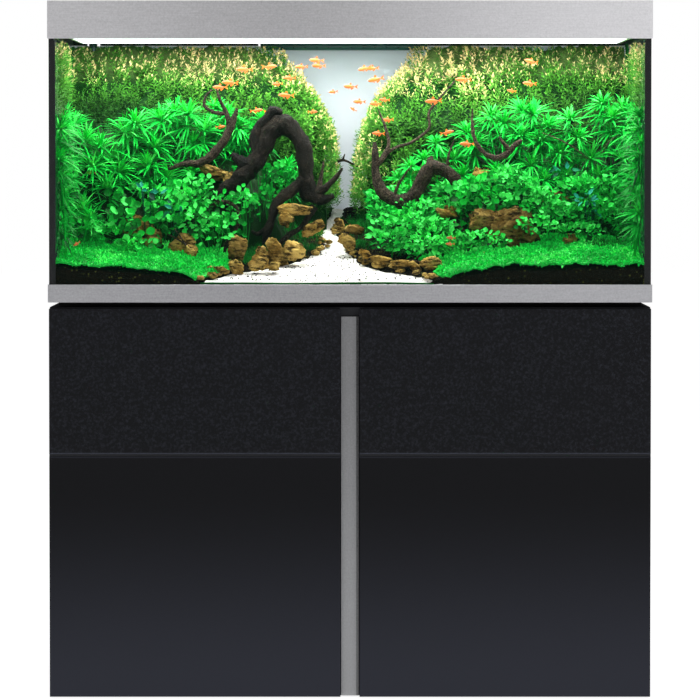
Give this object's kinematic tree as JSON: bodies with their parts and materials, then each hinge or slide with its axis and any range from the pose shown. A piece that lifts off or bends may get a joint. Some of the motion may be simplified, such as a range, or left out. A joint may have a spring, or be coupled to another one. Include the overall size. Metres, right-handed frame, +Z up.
{
  "type": "aquarium on stand",
  "caption": "Planted glass aquarium with a metal-banded lamp hood and hinged lids, on a dark two-door cabinet with a canister filter in one bay.",
  "frame": {"origin": "centre of the footprint, on the floor under the cabinet's glides", "axes": "+Z up; -Y is the front with the doors; +X to the right as seen from the front"},
  "size_m": [1.12, 0.54, 1.295],
  "materials": {
    "carcass": "satin dark laminate",
    "door_gloss": "near-black lacquered sheet with a fine metallic fleck",
    "strip_metal": "brushed",
    "band_metal": "fine brushed, satin",
    "steel": "pressed and plated",
    "glide": "matt",
    "black_plastic": "fine grained",
    "foam": "closed-cell foam",
    "glass": "clear float glass",
    "silicone": "black silicone",
    "film": "frosted pale blue-grey",
    "lamp_metal": "anodised",
    "diffuser": "opal",
    "filter_body": "dark grey moulded",
    "filter_head": "fine grained",
    "lever": "moulded",
    "pipe": "dark green translucent tube",
    "heater": "tube with a dark cap",
    "cup": "soft",
    "soil": "dark granules",
    "sand": "pale sand with dark grains",
    "rock": "rough yellow-brown",
    "driftwood": "waterlogged, grained",
    "stem_leaf": "thin leaves, yellow-green to orange at the tips",
    "spiky_leaf": "thin bright green leaves",
    "low_leaf": "small round leaves",
    "fish": "orange, silvery belly"
  },
  "bodies": {
    "stand_and_tank": {"cabinet_side_left": "carcass", "cabinet_side_right": "carcass", "cabinet_top": "carcass", "cabinet_bottom": "carcass", "cabinet_divider": "carcass", "cabinet_shelf": "carcass", "cabinet_back": "carcass", "shelf_pins": "steel", "hinge_arms": "steel", "hinge_pins": "steel", "filter_pins": "steel", "floor_glides": "glide", "centre_strip": "strip_metal", "base_trim": "band_metal", "riser": "black_plastic", "base_tray": "black_plastic", "foam_mat": "foam", "glass_bottom": "glass", "glass_front": "glass", "glass_back": "glass", "glass_left": "glass", "glass_right": "glass", "silicone_seams": "silicone", "background_film": "film", "filter_canister": "filter_body", "filter_head": "filter_head", "intake_pipe": "pipe", "spray_bar": "pipe", "heater": "heater", "suction_cups": "cup", "soil_bed": "soil", "sand_path": "sand", "stones": "rock", "driftwood": "driftwood", "stem_plants": "stem_leaf", "spiky_plants": "spiky_leaf", "leafy_plants": "low_leaf", "fish": "fish"},
    "left_door": {"door_left_board": "carcass", "door_left_lower_facing": "door_gloss", "door_left_upper_facing": "door_gloss", "door_left_hinge_cups": "steel"},
    "right_door": {"door_right_board": "carcass", "door_right_lower_facing": "door_gloss", "door_right_upper_facing": "door_gloss", "door_right_hinge_cups": "steel"},
    "hood": {"hood_band": "band_metal", "hood_frame": "black_plastic", "hood_rear_cover": "black_plastic", "hood_bridge": "black_plastic", "lid_hinge_rod": "steel", "lamp_housing": "lamp_metal", "lamp_lenses": "diffuser", "lamp_brackets": "black_plastic"},
    "left_lid": {"lid_left": "black_plastic"},
    "right_lid": {"lid_right": "black_plastic"},
    "left_latch": {"filter_latch_left": "lever"},
    "right_latch": {"filter_latch_right": "lever"},
    "valve_lever": {"filter_lever": "lever"}
  },
  "joints": [
    {"name": "left_door_hinge", "type": "hinge", "parent": "stand_and_tank", "child": "left_door", "pos_m": [-0.549, -0.259, 0.362], "axis": [0, 0, -1], "range_deg": [0, 100]},
    {"name": "right_door_hinge", "type": "hinge", "parent": "stand_and_tank", "child": "right_door", "pos_m": [0.549, -0.259, 0.362], "axis": [0, 0, 1], "range_deg": [0, 100]},
    {"name": "hood_lift", "type": "slide", "parent": "stand_and_tank", "child": "hood", "axis": [0, 0, 1], "range_m": [0, 0.2]},
    {"name": "left_lid_hinge", "type": "hinge", "parent": "hood", "child": "left_lid", "pos_m": [-0.2873, 0.1465, 1.288], "axis": [-1, 0, 0], "range_deg": [0, 95]},
    {"name": "right_lid_hinge", "type": "hinge", "parent": "hood", "child": "right_lid", "pos_m": [0.2873, 0.1465, 1.288], "axis": [-1, 0, 0], "range_deg": [0, 95]},
    {"name": "left_latch_hinge", "type": "hinge", "parent": "stand_and_tank", "child": "left_latch", "pos_m": [0.158, 0.02, 0.333], "axis": [0, 1, 0], "range_deg": [0, 70]},
    {"name": "right_latch_hinge", "type": "hinge", "parent": "stand_and_tank", "child": "right_latch", "pos_m": [0.412, 0.02, 0.333], "axis": [0, -1, 0], "range_deg": [0, 70]},
    {"name": "valve_lever_hinge", "type": "hinge", "parent": "stand_and_tank", "child": "valve_lever", "pos_m": [0.285, -0.022, 0.399], "axis": [1, 0, 0], "range_deg": [0, 75]}
  ]
}
